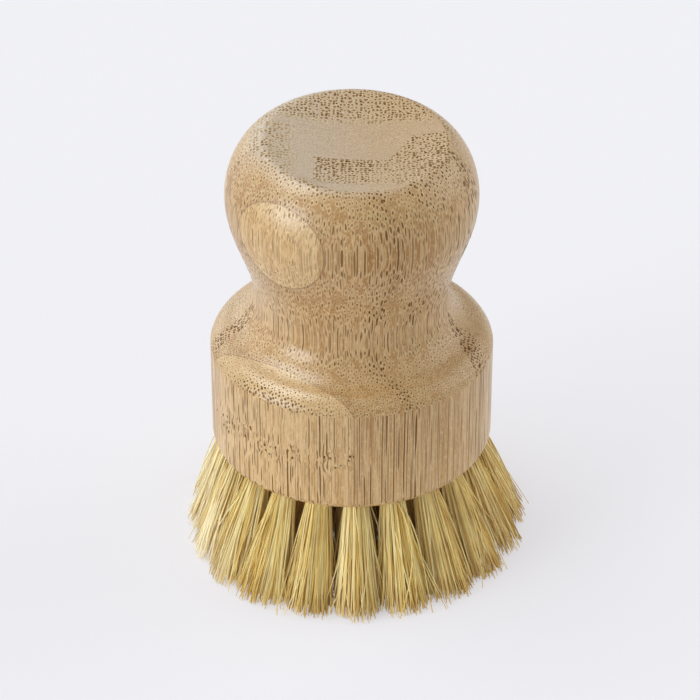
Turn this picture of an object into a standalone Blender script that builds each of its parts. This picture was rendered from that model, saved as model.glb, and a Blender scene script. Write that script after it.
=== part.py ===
"""Pot brush: one turned bamboo block with a palm knob, and stapled tufts of stiff plant fibre.

Metres, +Z up. The origin is on the floor under the middle of the brush, which stands on the
trimmed tips of its bristles. Heights inside the block are measured from its underside.
"""
import math

import bmesh
import bpy
from mathutils import Matrix, Vector

MM = 0.001

# Tuft holes, drilled into the underside on rings round one middle hole
RING_NAMES = ("centre", "inner", "middle", "outer")
RING_COUNTS = (1, 6, 12, 20)
RING_TURN = math.radians(2.0)
RING_LEAN = math.radians(6.5)       # each ring leans this much more than the ring inside it
HOLE_DIAMETER = 5.0 * MM
HOLE_DEPTH = 9.5 * MM
HOLE_WALL = 1.45 * MM               # wood between the deep ends of neighbouring rings
EDGE_LAND = 2.5 * MM                # wood between the outer holes and the block's wall
HOLE_SIDES = 12

# Bristles
BRISTLE_LENGTH = 21.4 * MM          # from the underside to the floor
TUFT_GAP = 0.4 * MM                 # between the tips of neighbouring tufts
TUFT_CLEARANCE = 0.3 * MM           # between a tuft and its hole
TIP_CUT = 0.5 * MM                  # trimmed off the tips so that they stand flat
SPLAY_POWER = 1.3                   # above 1, a tuft opens more towards its tips
FOLD_NARROWING = 0.85               # the folded end of a tuft, as a share of its width
STRAND_THINNING = (0.75, 0.72)      # width left after the first and the second step of a strand
STRAND_STEPS = (1, 1, 2, 2)         # steps of a strand on each ring, centre first

# Flat wire anchors, one driven across each folded tuft
ANCHOR_THICKNESS = 0.5 * MM
ANCHOR_HEIGHT = 2.0 * MM
ANCHOR_BITE = 0.3 * MM              # how far each end goes into the wood beside the hole
ANCHOR_CLEARANCE = 0.3 * MM
ANCHOR_EDGE_ROUND = 0.1 * MM
FOLD_THICKNESS = 0.9 * MM           # fibre between the anchor's slot and the bottom of the tuft
RADIAL_ANCHORS = ("centre", "outer")
LOOSE_ANCHORS = ("outer",)          # these anchors are pieces of their own

# Block: base, shoulder, neck and head
WALL_HEIGHT = 21.7 * MM             # underside to shoulder rim
BASE_EDGE_ROUND = 2.2 * MM
SHOULDER_ROUND = 5.0 * MM
SHOULDER_RIM_SLOPE = math.radians(75.0)
SHOULDER_SLOPE = math.radians(17.0)
NECK_DIAMETER = 37.6 * MM
HEAD_DIAMETER = 48.2 * MM
HEAD_RISE = 22.0 * MM               # neck to the widest part of the head
CROWN_HEIGHT = 14.3 * MM            # widest part of the head to the top before the dish is cut
CROWN_ROUND = 12.1 * MM             # how far the crown's round reaches in from the widest part
LEDGE_SHARE = 0.9                   # most of the ledge that the shoulder's round may take
TURN_STEPS = 48
CROWN_STEPS = 9
SWELL_STEPS = 10
SHOULDER_STEPS = 5
EDGE_STEPS = 4
DISH_STEPS = 7

# Dish for the palm, cut a little off the middle and leaning a little, as on the real brush
DISH_DIAMETER = 34.6 * MM
DISH_DEPTH = 2.0 * MM
DISH_DROP = 1.6 * MM                # middle of the dish's rim, below the crown's top
DISH_SHIFT_RIGHT = 1.1 * MM
DISH_SHIFT_FRONT = 1.5 * MM
DISH_LEAN_FRONT = math.radians(4.2)
DISH_LEAN_RIGHT = math.radians(2.0)

CUTTER_MARGIN = 2.0 * MM            # how far a cutter reaches past the face that it cuts
MERGE_DISTANCE = 0.01 * MM          # points of a turned outline this close become one

OUTER = len(RING_COUNTS) - 1
TUFT_RADIUS = HOLE_DIAMETER / 2 - TUFT_CLEARANCE
TUFT_DEPTH = HOLE_DEPTH - TUFT_CLEARANCE
SLOT_THICKNESS = ANCHOR_THICKNESS + 2 * ANCHOR_CLEARANCE
SLOT_HEIGHT = ANCHOR_HEIGHT + 2 * ANCHOR_CLEARANCE
ANCHOR_LENGTH = HOLE_DIAMETER + 2 * ANCHOR_BITE
SLOT_LENGTH = ANCHOR_LENGTH + 2 * ANCHOR_CLEARANCE
ANCHOR_DEPTH = TUFT_DEPTH - FOLD_THICKNESS - SLOT_HEIGHT / 2


def ring_lean(ring):
    return ring * RING_LEAN


def mouth_radius(ring):
    """Radius of the circle of hole mouths, worked out from the deep ends, where holes are closest."""
    deep_end = ring * (HOLE_DIAMETER + HOLE_WALL)
    return deep_end + HOLE_DEPTH * math.sin(ring_lean(ring))


def tip_radius(ring):
    """Radius of the circle on which the middles of a ring's trimmed tufts lie."""
    return mouth_radius(ring) + BRISTLE_LENGTH * math.tan(ring_lean(ring))


def tip_reach(ring):
    """Half width of a trimmed tuft along the brush's radius."""
    inward = tip_radius(ring) - tip_radius(ring - 1) if ring else tip_radius(1)
    outward = tip_radius(ring + 1) - tip_radius(ring) if ring < OUTER else inward
    return (min(inward, outward) - TUFT_GAP) / 2


def tip_breadth(ring):
    """Half width of a trimmed tuft across the brush's radius."""
    if ring == 0:
        return tip_reach(ring)
    pitch = 2 * math.pi * tip_radius(ring) / RING_COUNTS[ring]
    return (pitch - TUFT_GAP) / 2


def azimuth(ring, index):
    return RING_TURN + 2 * math.pi * index / RING_COUNTS[ring]


def tuft_places():
    """Ring and place on the ring of every tuft."""
    return [(ring, index) for ring, count in enumerate(RING_COUNTS) for index in range(count)]


def tuft_name(kind, ring, index):
    name = RING_NAMES[ring]
    return f"{kind}_{name}" if RING_COUNTS[ring] == 1 else f"{kind}_{name}_{index + 1:02d}"


def tuft_matrix(ring, index):
    """Frame at a hole's mouth, with X away from the middle of the brush and Z up."""
    turn = Matrix.Rotation(azimuth(ring, index), 4, "Z")
    return turn @ Matrix.Translation((mouth_radius(ring), 0, 0))


def lean_matrix(ring):
    """From the frame at a hole's mouth to the hole's own, with Z along the hole into the wood."""
    return Matrix.Rotation(-ring_lean(ring), 4, "Y")


def anchor_matrix(ring):
    """From the frame at a hole's mouth to the middle of the anchor, with X along the anchor."""
    turn = 0 if RING_NAMES[ring] in RADIAL_ANCHORS else math.pi / 2
    depth = Matrix.Translation((0, 0, ANCHOR_DEPTH))
    return lean_matrix(ring) @ depth @ Matrix.Rotation(turn, 4, "Z")


BASE_RADIUS = mouth_radius(OUTER) + HOLE_DIAMETER / 2 + EDGE_LAND


def new_collection(name):
    collection = bpy.data.collections.new(name)
    bpy.context.scene.collection.children.link(collection)
    return collection


def new_object(name, mesh, collection, parent=None, matrix=None):
    made = bpy.data.objects.new(name, mesh)
    collection.objects.link(made)
    made.parent = parent
    if matrix is not None:
        made.matrix_basis = matrix
    return made


def new_cutter(name, mesh, parent=None, matrix=None):
    cutter = new_object(name, mesh, cutters, parent, matrix)
    cutter.hide_render = True
    cutter.display_type = "WIRE"
    return cutter


def principled(name, colour, roughness, metallic=0.0):
    material = bpy.data.materials.new(name)
    material.use_nodes = True
    shader = material.node_tree.nodes["Principled BSDF"]
    shader.inputs["Base Color"].default_value = (*colour, 1.0)
    shader.inputs["Roughness"].default_value = roughness
    shader.inputs["Metallic"].default_value = metallic
    return material


def mesh_from(bm, name):
    bmesh.ops.recalc_face_normals(bm, faces=bm.faces)
    mesh = bpy.data.meshes.new(name)
    bm.to_mesh(mesh)
    bm.free()
    return mesh


def arc(centre, radius, start, end, steps):
    """Points of an arc from one angle to another, both included."""
    angles = [start + (end - start) * step / steps for step in range(steps + 1)]
    return [(centre[0] + radius * math.cos(angle), centre[1] + radius * math.sin(angle))
            for angle in angles]


def turned(made, steps):
    """Turn an object's outline round its Z axis."""
    screw = made.modifiers.new("turn", "SCREW")
    screw.steps = steps
    screw.render_steps = steps
    screw.use_merge_vertices = True
    screw.merge_threshold = MERGE_DISTANCE
    screw.use_smooth_shade = True


def outline_mesh(name, points):
    """An open outline in the XZ plane, from the axis at the top to the axis at the bottom."""
    mesh = bpy.data.meshes.new(name)
    verts = [(radius, 0, height) for radius, height in points]
    mesh.from_pydata(verts, [(i, i + 1) for i in range(len(points) - 1)], [])
    return mesh


def add_boolean(made, tool, operation="DIFFERENCE"):
    boolean = made.modifiers.new(tool.name, "BOOLEAN")
    boolean.operation = operation
    boolean.object = tool
    boolean.solver = "EXACT"


def bake(made, crease=math.radians(30)):
    """Replace an object's mesh by what its modifiers make of it, smooth between its creases."""
    evaluated = made.evaluated_get(bpy.context.evaluated_depsgraph_get())
    mesh = bpy.data.meshes.new_from_object(evaluated)
    mesh.name = made.name
    mesh.shade_smooth()
    mesh.set_sharp_from_angle(angle=crease)
    made.modifiers.clear()
    made.data = mesh


def block_outline():
    """Half section of the block from the crown down its outer side to the underside."""
    neck, head = NECK_DIAMETER / 2, HEAD_DIAMETER / 2
    slope_span = math.sin(SHOULDER_RIM_SLOPE) - math.sin(SHOULDER_SLOPE)
    ledge = BASE_RADIUS - neck
    shoulder = min(SHOULDER_ROUND, LEDGE_SHARE * ledge / slope_span)
    fillet = (ledge - shoulder * slope_span) / (1 - math.sin(SHOULDER_SLOPE))
    neck_height = (WALL_HEIGHT + fillet * math.cos(SHOULDER_SLOPE)
                   + shoulder * (math.cos(SHOULDER_SLOPE) - math.cos(SHOULDER_RIM_SLOPE)))
    widest_height = neck_height + HEAD_RISE

    points = [(0, widest_height + CROWN_HEIGHT)]
    for step in range(CROWN_STEPS):
        angle = math.pi / 2 * (1 - step / CROWN_STEPS)
        points.append((head - CROWN_ROUND + CROWN_ROUND * math.cos(angle),
                       widest_height + CROWN_HEIGHT * math.sin(angle)))
    for step in range(SWELL_STEPS):
        share = step / SWELL_STEPS
        points.append((neck + (head - neck) * (1 + math.cos(math.pi * share)) / 2,
                       widest_height - HEAD_RISE * share))
    points += arc((neck + fillet, neck_height), fillet, math.pi,
                  1.5 * math.pi - SHOULDER_SLOPE, SHOULDER_STEPS)
    rim_centre = (BASE_RADIUS - shoulder * math.sin(SHOULDER_RIM_SLOPE),
                  WALL_HEIGHT - shoulder * math.cos(SHOULDER_RIM_SLOPE))
    points += arc(rim_centre, shoulder, math.pi / 2 - SHOULDER_SLOPE,
                  math.pi / 2 - SHOULDER_RIM_SLOPE, SHOULDER_STEPS)[1:]
    points += arc((BASE_RADIUS - BASE_EDGE_ROUND, BASE_EDGE_ROUND), BASE_EDGE_ROUND,
                  0, -math.pi / 2, EDGE_STEPS)
    points.append((0, 0))
    return points


def dish_cutter(crown_top):
    """A shallow spherical plug with straight sides, standing in the dish."""
    rim = DISH_DIAMETER / 2
    ball = (rim ** 2 + DISH_DEPTH ** 2) / (2 * DISH_DEPTH)
    side = rim + CUTTER_MARGIN
    top = CUTTER_MARGIN + CROWN_HEIGHT
    points = [(0, top), (side, top)]
    for step in range(DISH_STEPS + 1):
        radius = side * (1 - step / DISH_STEPS)
        points.append((radius, ball - DISH_DEPTH - math.sqrt(ball ** 2 - radius ** 2)))
    place = (Matrix.Translation((DISH_SHIFT_RIGHT, -DISH_SHIFT_FRONT, crown_top - DISH_DROP))
             @ Matrix.Rotation(DISH_LEAN_RIGHT, 4, "Y") @ Matrix.Rotation(DISH_LEAN_FRONT, 4, "X"))
    cutter = new_cutter("dish_cutter", outline_mesh("dish_cutter", points), brush, place)
    turned(cutter, TURN_STEPS)
    return cutter


def drill_cutter():
    """One drill for each tuft hole, starting below the underside."""
    bm = bmesh.new()
    length = HOLE_DEPTH + CUTTER_MARGIN
    middle = Matrix.Translation((0, 0, HOLE_DEPTH - length / 2))
    for ring, index in tuft_places():
        place = tuft_matrix(ring, index) @ lean_matrix(ring) @ middle
        bmesh.ops.create_cone(bm, cap_ends=True, segments=HOLE_SIDES, radius1=HOLE_DIAMETER / 2,
                              radius2=HOLE_DIAMETER / 2, depth=length, matrix=place)
    return new_cutter("drills", mesh_from(bm, "drills"), brush)


def box_into(bm, place, length, thickness, height):
    bmesh.ops.create_cube(bm, size=1, matrix=place @ Matrix.Diagonal((length, thickness, height, 1)))


def kerf_cutter():
    """A box for each anchor, longer than its hole is wide, which opens the wood beside the hole."""
    bm = bmesh.new()
    for ring, index in tuft_places():
        place = tuft_matrix(ring, index) @ anchor_matrix(ring)
        box_into(bm, place, SLOT_LENGTH, SLOT_THICKNESS, SLOT_HEIGHT)
    return new_cutter("kerfs", mesh_from(bm, "kerfs"), brush)


def make_block():
    outline = block_outline()
    block = new_object("handle", outline_mesh("handle", outline), parts, brush)
    turned(block, TURN_STEPS)
    crown_top = outline[0][1]
    for cutter in (dish_cutter(crown_top), drill_cutter(), kerf_cutter()):
        add_boolean(block, cutter)
    bake(block)
    block.data.materials.append(principled("bamboo", (0.53, 0.36, 0.19), 0.42))


def faces_out(face):
    """Whether a triangle of the tuft's pattern turns a side, and not a corner, to its +X."""
    corner = face.verts[0].co - face.calc_center_median()
    return math.cos(3 * math.atan2(corner.y, corner.x)) < 0


def tuft_pattern(bm):
    """A disc of 24 triangles with 12 corners round it; returns the 12 that grow into strands."""
    bmesh.ops.create_circle(bm, cap_ends=True, cap_tris=True, segments=HOLE_SIDES // 2, radius=1)
    bmesh.ops.subdivide_edges(bm, edges=bm.edges[:], cuts=1, use_grid_fill=True)
    strands = [face for face in bm.faces if faces_out(face)]
    for vert in bm.verts:
        if vert.is_boundary:
            vert.co.normalize()
    return strands


def tuft_point(ring, steps, spot):
    """Place a point of the pattern, whose third value is its level along the strands."""
    along, across, level = spot
    lean = lean_matrix(ring)
    if level < 0:
        return lean @ Vector((along * TUFT_RADIUS, across * TUFT_RADIUS, TUFT_DEPTH))
    share = level / steps
    splay = share ** SPLAY_POWER
    reach = TUFT_RADIUS + (tip_reach(ring) - TUFT_RADIUS) * splay
    breadth = TUFT_RADIUS + (tip_breadth(ring) - TUFT_RADIUS) * splay
    level_off = 1 - share
    length = (BRISTLE_LENGTH + TIP_CUT) * share
    root = lean @ Vector((along * reach, 0, 0))
    flat = Vector((along * reach, 0, 0))
    centre = Vector((length * math.tan(ring_lean(ring)), across * breadth, -length))
    return centre + root * level_off + flat * share


def tuft_mesh(ring):
    """Strands of a trimmed tuft on the folded plug of fibre that fills its hole."""
    steps = STRAND_STEPS[ring]
    bm = bmesh.new()
    strands = tuft_pattern(bm)
    rim = [edge for edge in bm.edges if edge.is_boundary]
    for level in range(1, steps + 1):
        strands = bmesh.ops.extrude_discrete_faces(bm, faces=strands)["faces"]
        for face in strands:
            middle = face.calc_center_median()
            for vert in face.verts:
                vert.co = middle + (vert.co - middle) * STRAND_THINNING[level - 1]
                vert.co.z = level
    fold = bmesh.ops.extrude_edge_only(bm, edges=rim)["geom"]
    for vert in fold:
        if isinstance(vert, bmesh.types.BMVert):
            vert.co = Vector((vert.co.x * FOLD_NARROWING, vert.co.y * FOLD_NARROWING, -1))
    for vert in bm.verts:
        vert.co = tuft_point(ring, steps, vert.co)
    everything = bm.verts[:] + bm.edges[:] + bm.faces[:]
    bmesh.ops.bisect_plane(bm, geom=everything, plane_co=(0, 0, -BRISTLE_LENGTH),
                           plane_no=(0, 0, -1), clear_outer=True)
    bmesh.ops.holes_fill(bm, edges=[edge for edge in bm.edges if edge.is_boundary], sides=0)
    return mesh_from(bm, f"tuft_{RING_NAMES[ring]}")


def slotted_tuft(ring):
    """A tuft with its anchor's slot through it or, where the anchor isn't loose, with its anchor."""
    loose = RING_NAMES[ring] in LOOSE_ANCHORS
    bm = bmesh.new()
    if loose:
        box_into(bm, anchor_matrix(ring), SLOT_LENGTH, SLOT_THICKNESS, SLOT_HEIGHT)
    else:
        box_into(bm, anchor_matrix(ring), ANCHOR_LENGTH, ANCHOR_THICKNESS, ANCHOR_HEIGHT)
    tool = new_cutter("anchor_tool", mesh_from(bm, "anchor_tool"))
    tuft = new_object("pattern_tuft", tuft_mesh(ring), cutters)
    add_boolean(tuft, tool, "DIFFERENCE" if loose else "UNION")
    bake(tuft)
    mesh = tuft.data
    for helper in (tuft, tool):
        bpy.data.objects.remove(helper)
    return mesh


def make_tufts():
    fibre = principled("fibre", (0.62, 0.47, 0.24), 0.75)
    for ring, count in enumerate(RING_COUNTS):
        mesh = slotted_tuft(ring)
        mesh.materials.clear()
        mesh.materials.append(fibre)
        for index in range(count):
            name = tuft_name("tuft", ring, index)
            new_object(name, mesh, parts, brush, tuft_matrix(ring, index))


def make_anchors():
    bm = bmesh.new()
    box_into(bm, Matrix(), ANCHOR_LENGTH, ANCHOR_THICKNESS, ANCHOR_HEIGHT)
    mesh = mesh_from(bm, "anchor")
    mesh.materials.append(principled("anchor_wire", (0.55, 0.55, 0.56), 0.3, 1.0))
    for ring, index in tuft_places():
        if RING_NAMES[ring] not in LOOSE_ANCHORS:
            continue
        place = tuft_matrix(ring, index) @ anchor_matrix(ring)
        anchor = new_object(tuft_name("anchor", ring, index), mesh, parts, brush, place)
        bevel = anchor.modifiers.new("rounded_edges", "BEVEL")
        bevel.width = ANCHOR_EDGE_ROUND
        bevel.segments = 1


for leftover in list(bpy.data.objects):
    bpy.data.objects.remove(leftover)
parts = new_collection("pot_brush")
cutters = new_collection("cutters")
brush = new_object("brush", None, parts, matrix=Matrix.Translation((0, 0, BRISTLE_LENGTH)))
make_block()
make_tufts()
make_anchors()
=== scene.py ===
"""Looks of a bamboo pot brush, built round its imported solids. Metres, +Z up, floor at Z = 0."""
import math

import bmesh
import bpy
import numpy as np
from mathutils import Matrix, Vector


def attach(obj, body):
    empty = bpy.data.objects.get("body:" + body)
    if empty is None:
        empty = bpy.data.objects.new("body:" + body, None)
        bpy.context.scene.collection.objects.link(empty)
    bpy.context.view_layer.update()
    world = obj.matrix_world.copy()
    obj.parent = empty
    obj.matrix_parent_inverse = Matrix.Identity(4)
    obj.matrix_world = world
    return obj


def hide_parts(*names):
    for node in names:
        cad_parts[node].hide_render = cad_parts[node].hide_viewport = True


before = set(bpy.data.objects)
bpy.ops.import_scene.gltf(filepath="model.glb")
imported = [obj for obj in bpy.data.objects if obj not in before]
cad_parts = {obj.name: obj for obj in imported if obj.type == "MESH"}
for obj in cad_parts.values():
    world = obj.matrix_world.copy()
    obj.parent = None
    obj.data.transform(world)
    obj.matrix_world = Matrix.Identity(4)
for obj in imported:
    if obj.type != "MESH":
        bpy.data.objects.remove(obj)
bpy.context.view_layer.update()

MM = 0.001

# Camera: the photograph's frame is 700 pixels wide
FRAME_PIXELS = 700
FOCAL_PIXELS = 3073
SENSOR_WIDTH = 36
CAMERA_DISTANCE = 600 * MM
CAMERA_ELEVATION = math.radians(33.78)
LOOK_AT = Vector((-0.34 * MM, 0, 40.2 * MM))
CLIP_START = 10 * MM

# Tuft holes, as in the solids
RING_NAMES = ("centre", "inner", "middle", "outer")
RING_COUNTS = (1, 6, 12, 20)
RING_TURN = math.radians(2.0)
RING_LEAN = math.radians(6.5)          # each ring leans this much more than the ring inside it
HOLE_DIAMETER = 5.0 * MM
HOLE_DEPTH = 9.5 * MM
HOLE_WALL = 1.45 * MM
EDGE_LAND = 2.5 * MM
BRISTLE_LENGTH = 21.4 * MM
TUFT_GAP = 0.4 * MM
TUFT_RADIUS = 2.2 * MM
OUTER = len(RING_COUNTS) - 1

# Block, as in the solids
WALL_HEIGHT = 21.7 * MM
BASE_EDGE_ROUND = 2.2 * MM
SHOULDER_ROUND = 5.0 * MM
SHOULDER_RIM_SLOPE = math.radians(75.0)
SHOULDER_SLOPE = math.radians(17.0)
NECK_RADIUS = 18.8 * MM
HEAD_RADIUS = 24.1 * MM
HEAD_RISE = 22.0 * MM
CROWN_HEIGHT = 14.3 * MM
CROWN_ROUND = 12.1 * MM
DISH_RADIUS = 17.3 * MM
DISH_DEPTH = 2.0 * MM
DISH_DROP = 1.6 * MM
DISH_CENTRE = Vector((1.1, -1.5)) * MM
DISH_LEAN_FRONT = math.radians(4.2)
DISH_LEAN_RIGHT = math.radians(2.0)

# Fineness of the turned block
TURN_STEPS = 288
DISH_STEPS = 25
CREST_STEPS = 23
CROWN_STEPS = 33
SWELL_STEPS = 60
FILLET_STEPS = 22
RIM_STEPS = 18
WALL_STEPS = 15
EDGE_STEPS = 12
HOLE_SIDES = 32
CREST_BREADTH = 1.6 * MM               # to each side of the dish's rim
CREST_SOFTNESS = 0.7 * MM
DRILL_MARGIN = 2 * MM                  # how far a drill starts below the wood
SLAB_MARGIN = 3 * MM                   # thickness of the slab above the holes
JUST_INSIDE = 0.999
MERGE_DISTANCE = 0.001 * MM
SHARP_ANGLE = math.radians(40)

# Anchors, as in the solids
ANCHOR_THICKNESS = 0.5 * MM
ANCHOR_HEIGHT = 2.0 * MM
ANCHOR_LENGTH = 5.6 * MM
ANCHOR_DEPTH = 7.0 * MM
ANCHOR_EDGE_ROUND = 0.1 * MM
RADIAL_ANCHORS = ("centre", "outer")
LOOSE_ANCHORS = ("outer",)

# Bristles
FOLDED_FIBRES = {"centre": 90, "inner": 100, "middle": 160, "outer": 260}
LOTS = {"centre": (0.2, 1.0), "inner": (0.2, 1.0), "middle": (0.4, 1.0), "outer": (0.1, 1.0)}
FIBRE_RADIUS = 0.125 * MM
FIBRE_SIZES = (0.75, 1.25)
FIBRE_TAPER = 0.3
FIBRE_SIDES = 3
SPREAD = 1.15                          # breadth of a tuft's tips, as a share of its room
SPREAD_VARIETY = 0.05
SPLAY_POWER = 1.3                      # above 1, a tuft opens more towards its tips
TIP_FRAY = 0.5 * MM
TIP_UNEVENNESS = 0.4 * MM
SHORT_SHARE = 0.08
SHORTEST_BY = 3.0 * MM
BOW = 0.3 * MM
WAVE = 0.1 * MM
STRAY_SHARE = 0.06
STRAY_REACH = 2.6 * MM
STRAY_BOW = 3
FURTHEST_TIP = 35.2 * MM
STANDS_IN_FROM = 26.0 * MM             # left of here the tips stand in by a share of the rest
STANDS_IN = 0.22
LEVELS_IN_HOLE = ((6.6 * MM, 0.8), (3.5 * MM, 0.92), (1.0 * MM, 1.0))    # depth and width
LEG_SHARES = (0.0, 0.12, 0.26, 0.42, 0.58, 0.74, 0.88, 1.0)
FOLD_CLEARANCE = 0.4 * MM
FOLD_RISE = (0.15, 0.9)
SEED = 20

# Surroundings. Colours with values up to 255 are as they look, all others linear
PALE = (241, 241, 246)
FLOOR_SIZE = 6
FLOOR_SHADE = (0.47, 0.47, 0.47, 1.0)
FLOOR_GLOW = (0.474, 0.473, 0.505, 1.0)
FLOOR_ROUGHNESS = 0.9
WHITE = (1.0, 1.0, 1.0)
COOL = (0.97, 1.0, 1.07)
SOFT_LIGHT = 0.45
MAX_BOUNCES = 20
DIFFUSE_BOUNCES = 16

# Suns by name: azimuth, elevation, strength, softness in degrees, tint
SUNS = {"key": (-58, 13, 1.2, 34, COOL), "high": (-98, 57, 0.7, 46, COOL),
        "right": (108, 25, 0.74, 50, WHITE), "back": (-145, 28, 0.25, 60, WHITE)}

# What the gloss mirrors: a studio with a level on the left and one on the right, and soft lamps
# by azimuth, elevation, angle at which they are full, angle at which they end, and strength
MIRRORED_TINT = (0.76, 0.94, 1.07, 1.0)
STUDIO_LEVELS = (1.7, 0.6)
STUDIO_TURNS_FROM = (-0.8, 0.1)
MIRRORED_LAMPS = ((-82, 57, 8, 24, 7.0), (-60, 12, 10, 24, 2.0), (-150, 22, 12, 34, 0.4))

# Strips that the block is glued up from, seen from above, in millimetres. A side is an axis, the
# sign of the way in and an offset; u and v point to the front left, w to the front right, s to
# the back left, t to the right and z up. Then come the axis along which the pores thin out, from
# where to where, their share at both ends, the strip's tone from brown (0) to golden (1), and how
# clearly its glue line shows.
DIRECTIONS = {"u": (-0.588, -0.809, 0.0), "v": (-0.656, -0.755, 0.0), "w": (0.86, -0.51, 0.0),
              "s": (-0.516, 0.856, 0.0), "t": (0.853, 0.522, 0.0)}
FRONT_LEFT = 22.0                      # where the strip at the front left starts along u
HEAD_FOOT = 56.0
STRIPS = (
    ([("y", 1, 16.3)], "y", 16.3, 24.0, 0.9, 0.3, 0.6, 0.6),
    ([("y", 1, 16.3), ("x", 1, 6.0)], "y", 28.0, 18.0, 0.9, 0.2, 0.6, 0.6),
    ([("y", 1, 6.0), ("y", -1, 16.3)], "y", 6.0, 14.0, 0.8, 0.25, 0.55, 0.6),
    ([("y", 1, 6.0), ("y", -1, 16.3), ("x", 1, 0.0)], "y", 16.3, 9.0, 0.9, 0.3, 0.35, 0.6),
    ([("y", 1, -4.2), ("y", -1, 6.0)], "y", -4.2, 2.0, 0.95, 0.25, 0.55, 0.5),
    ([("y", 1, -4.2), ("y", -1, 6.0), ("x", 1, 0.0)], "y", 6.0, 0.0, 0.8, 0.2, 0.42, 0.7),
    ([("y", -1, -4.2), ("v", -1, 11.3)], "v", 11.3, 7.5, 1.0, 0.4, 0.2, 0.7),
    ([("y", 1, -18.0), ("y", -1, -4.2), ("w", 1, 17.0)], "w", 18.5, 24.0, 1.0, 0.4, 0.3, 0.0),
    ([("y", 1, -18.0), ("y", -1, -4.2), ("w", 1, 17.0), ("z", -1, HEAD_FOOT)],
     "w", 17.0, 24.0, 0.45, 0.4, 0.3, 0.0),
    ([("y", 1, -18.0), ("y", -1, -4.2), ("t", 1, 13.0)], "t", 14.0, 19.0, 1.3, 0.7, 0.35, 0.0),
    ([("y", -1, -4.2), ("v", 1, 11.3), ("u", -1, FRONT_LEFT)], "v", 11.3, 15.5, 1.0, 0.5, 0.0, 0.7),
    ([("y", -1, 6.0), ("s", 1, 7.4), ("z", -1, HEAD_FOOT)], "s", 9.0, 13.0, 1.4, 0.4, 0.4, 0.0),
    ([("u", 1, FRONT_LEFT)], "u", 27.5, 23.0, 1.15, 0.35, 1.0, 1.0),
)

# Strips that show in the dish
CORE_RADIUS = 17.0
CORE_HEIGHT = 80.0
CORE_STRIPS = (
    ([("y", 1, 8.0)], "y", 13.0, 22.0, 1.0, 0.35, 0.4, 0.0),
    ([("y", 1, 3.7), ("y", -1, 8.0)], "y", 8.0, 5.0, 0.7, 0.0, 0.45, 0.2),
    ([("y", 1, -4.2), ("y", -1, 3.7)], "x", -17.0, -9.0, 0.5, 0.06, 0.45, 0.2),
    ([("y", 1, -4.2), ("y", -1, 2.0), ("w", 1, 8.8)], "w", 16.0, 10.0, 1.2, 0.8, 0.45, 0.2),
    ([("y", 1, -14.6), ("y", -1, -4.2)], "x", -17.0, -8.0, 0.5, 0.06, 0.5, 0.2),
    ([("y", 1, -15.2), ("y", -1, -5.6), ("x", 1, -7.05)], "y", -8.0, -15.0, 1.2, 0.75, 0.5, 0.3),
    ([("y", 1, -15.2), ("y", -1, -5.6), ("x", 1, 3.8)], "y", -6.0, -12.0, 0.8, 0.5, 0.5, 0.3),
    ([("y", 1, -9.8), ("y", -1, -4.2), ("x", 1, 7.0)], "x", 13.0, 9.0, 1.2, 0.8, 0.45, 1.0),
    ([("y", 1, -15.2), ("y", -1, -9.8), ("x", 1, 7.0)], "w", 19.0, 15.0, 1.2, 0.5, 0.45, 0.0),
    ([("y", -1, -15.2)], "y", 0.0, 1.0, 0.0, 0.0, 0.5, 0.4),
)
UNGLUED = (0.5, 0.5, 9.0)              # pore share, tone and distance from glue outside all strips
FINEST_LINE = 0.01

# Noise in the wood, the fibres and the wire, in waves per millimetre along X, Y and Z
RIPPLE = (0.12, 0.12, 0.0)
WANDER = (0.35, 0.35, 0.03)
SWIRL = (0.6, 0.6, 0.4)
GRAIN = (3.6, 3.6, 0.07)
SPECK = (3.2, 3.2, 0.8)
BAND = (0.7, 0.7, 0.02)
CLOUD = (0.12, 0.12, 0.05)
MOTTLE = (1.2, 1.2, 0.35)
BROAD = (0.32, 0.32, 0.05)
SCRATCHES = (3.0, 3.0, 12.0)

# Bundles of the bamboo and their pores, in millimetres
PORE_SPACING = 0.74
PORE_SCATTER = 0.6
PORE_EDGE = (-0.03, 0.04)
PORE_HALO = (0.48, 0.3)
PORES_MISSING = 0.3
DOT_RADIUS = 0.145
CROWDED_GROWTH = 0.08                  # added to a dot's radius where pores crowd
STREAK_RADII = (0.155, 0.17)           # below the neck and on the head
THREAD_SPACING = 0.46
THREAD_RADIUS = 0.09
WANDER_REACH = (0.7, 0.7, 0.0)
SWIRL_REACH = (1.5, 1.5, 0.0)
DRIFT_REACH = 1.6
DRIFT_WAVES = 0.8
DRIFT_RUN = 0.04                       # waves of the drift along Z, and what the front left adds
FRONT_LEFT_RUN = 0.08
SHIFT_FROM = 46.6                      # below this height the neck's streaks end and start again
SHIFT_RATE = 0.5
SHIFT_MOST = 1.75
NODE_HEIGHTS = (32.0, 34.5)
NODE_REACH = (3.5, 0.8)
PIT_STRETCH = (1.0, 1.0, 0.8)
PIT_SCALE = 0.85
PIT_RADII = (0.26, 0.16)
PITS_MISSING = 0.25

# Soft patches, a brown one in the wood and a pale one of painted sheen on the neck's left: centre,
# radii, share of the radii at which it is full, strength
PATCH_END = 1.2
BROWN_PATCH = ((6.5, -21.0, 75.0), (14.0, 8.0, 7.5), 0.3, 0.75)
# Painted sheen: a pale patch on the neck's left that stands in for its whitish reflection
PAINTED_SHEEN_PATCH = ((-17.0, -10.0, 60.0), (10.0, 15.0, 10.0), 0.0, 0.42)

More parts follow.
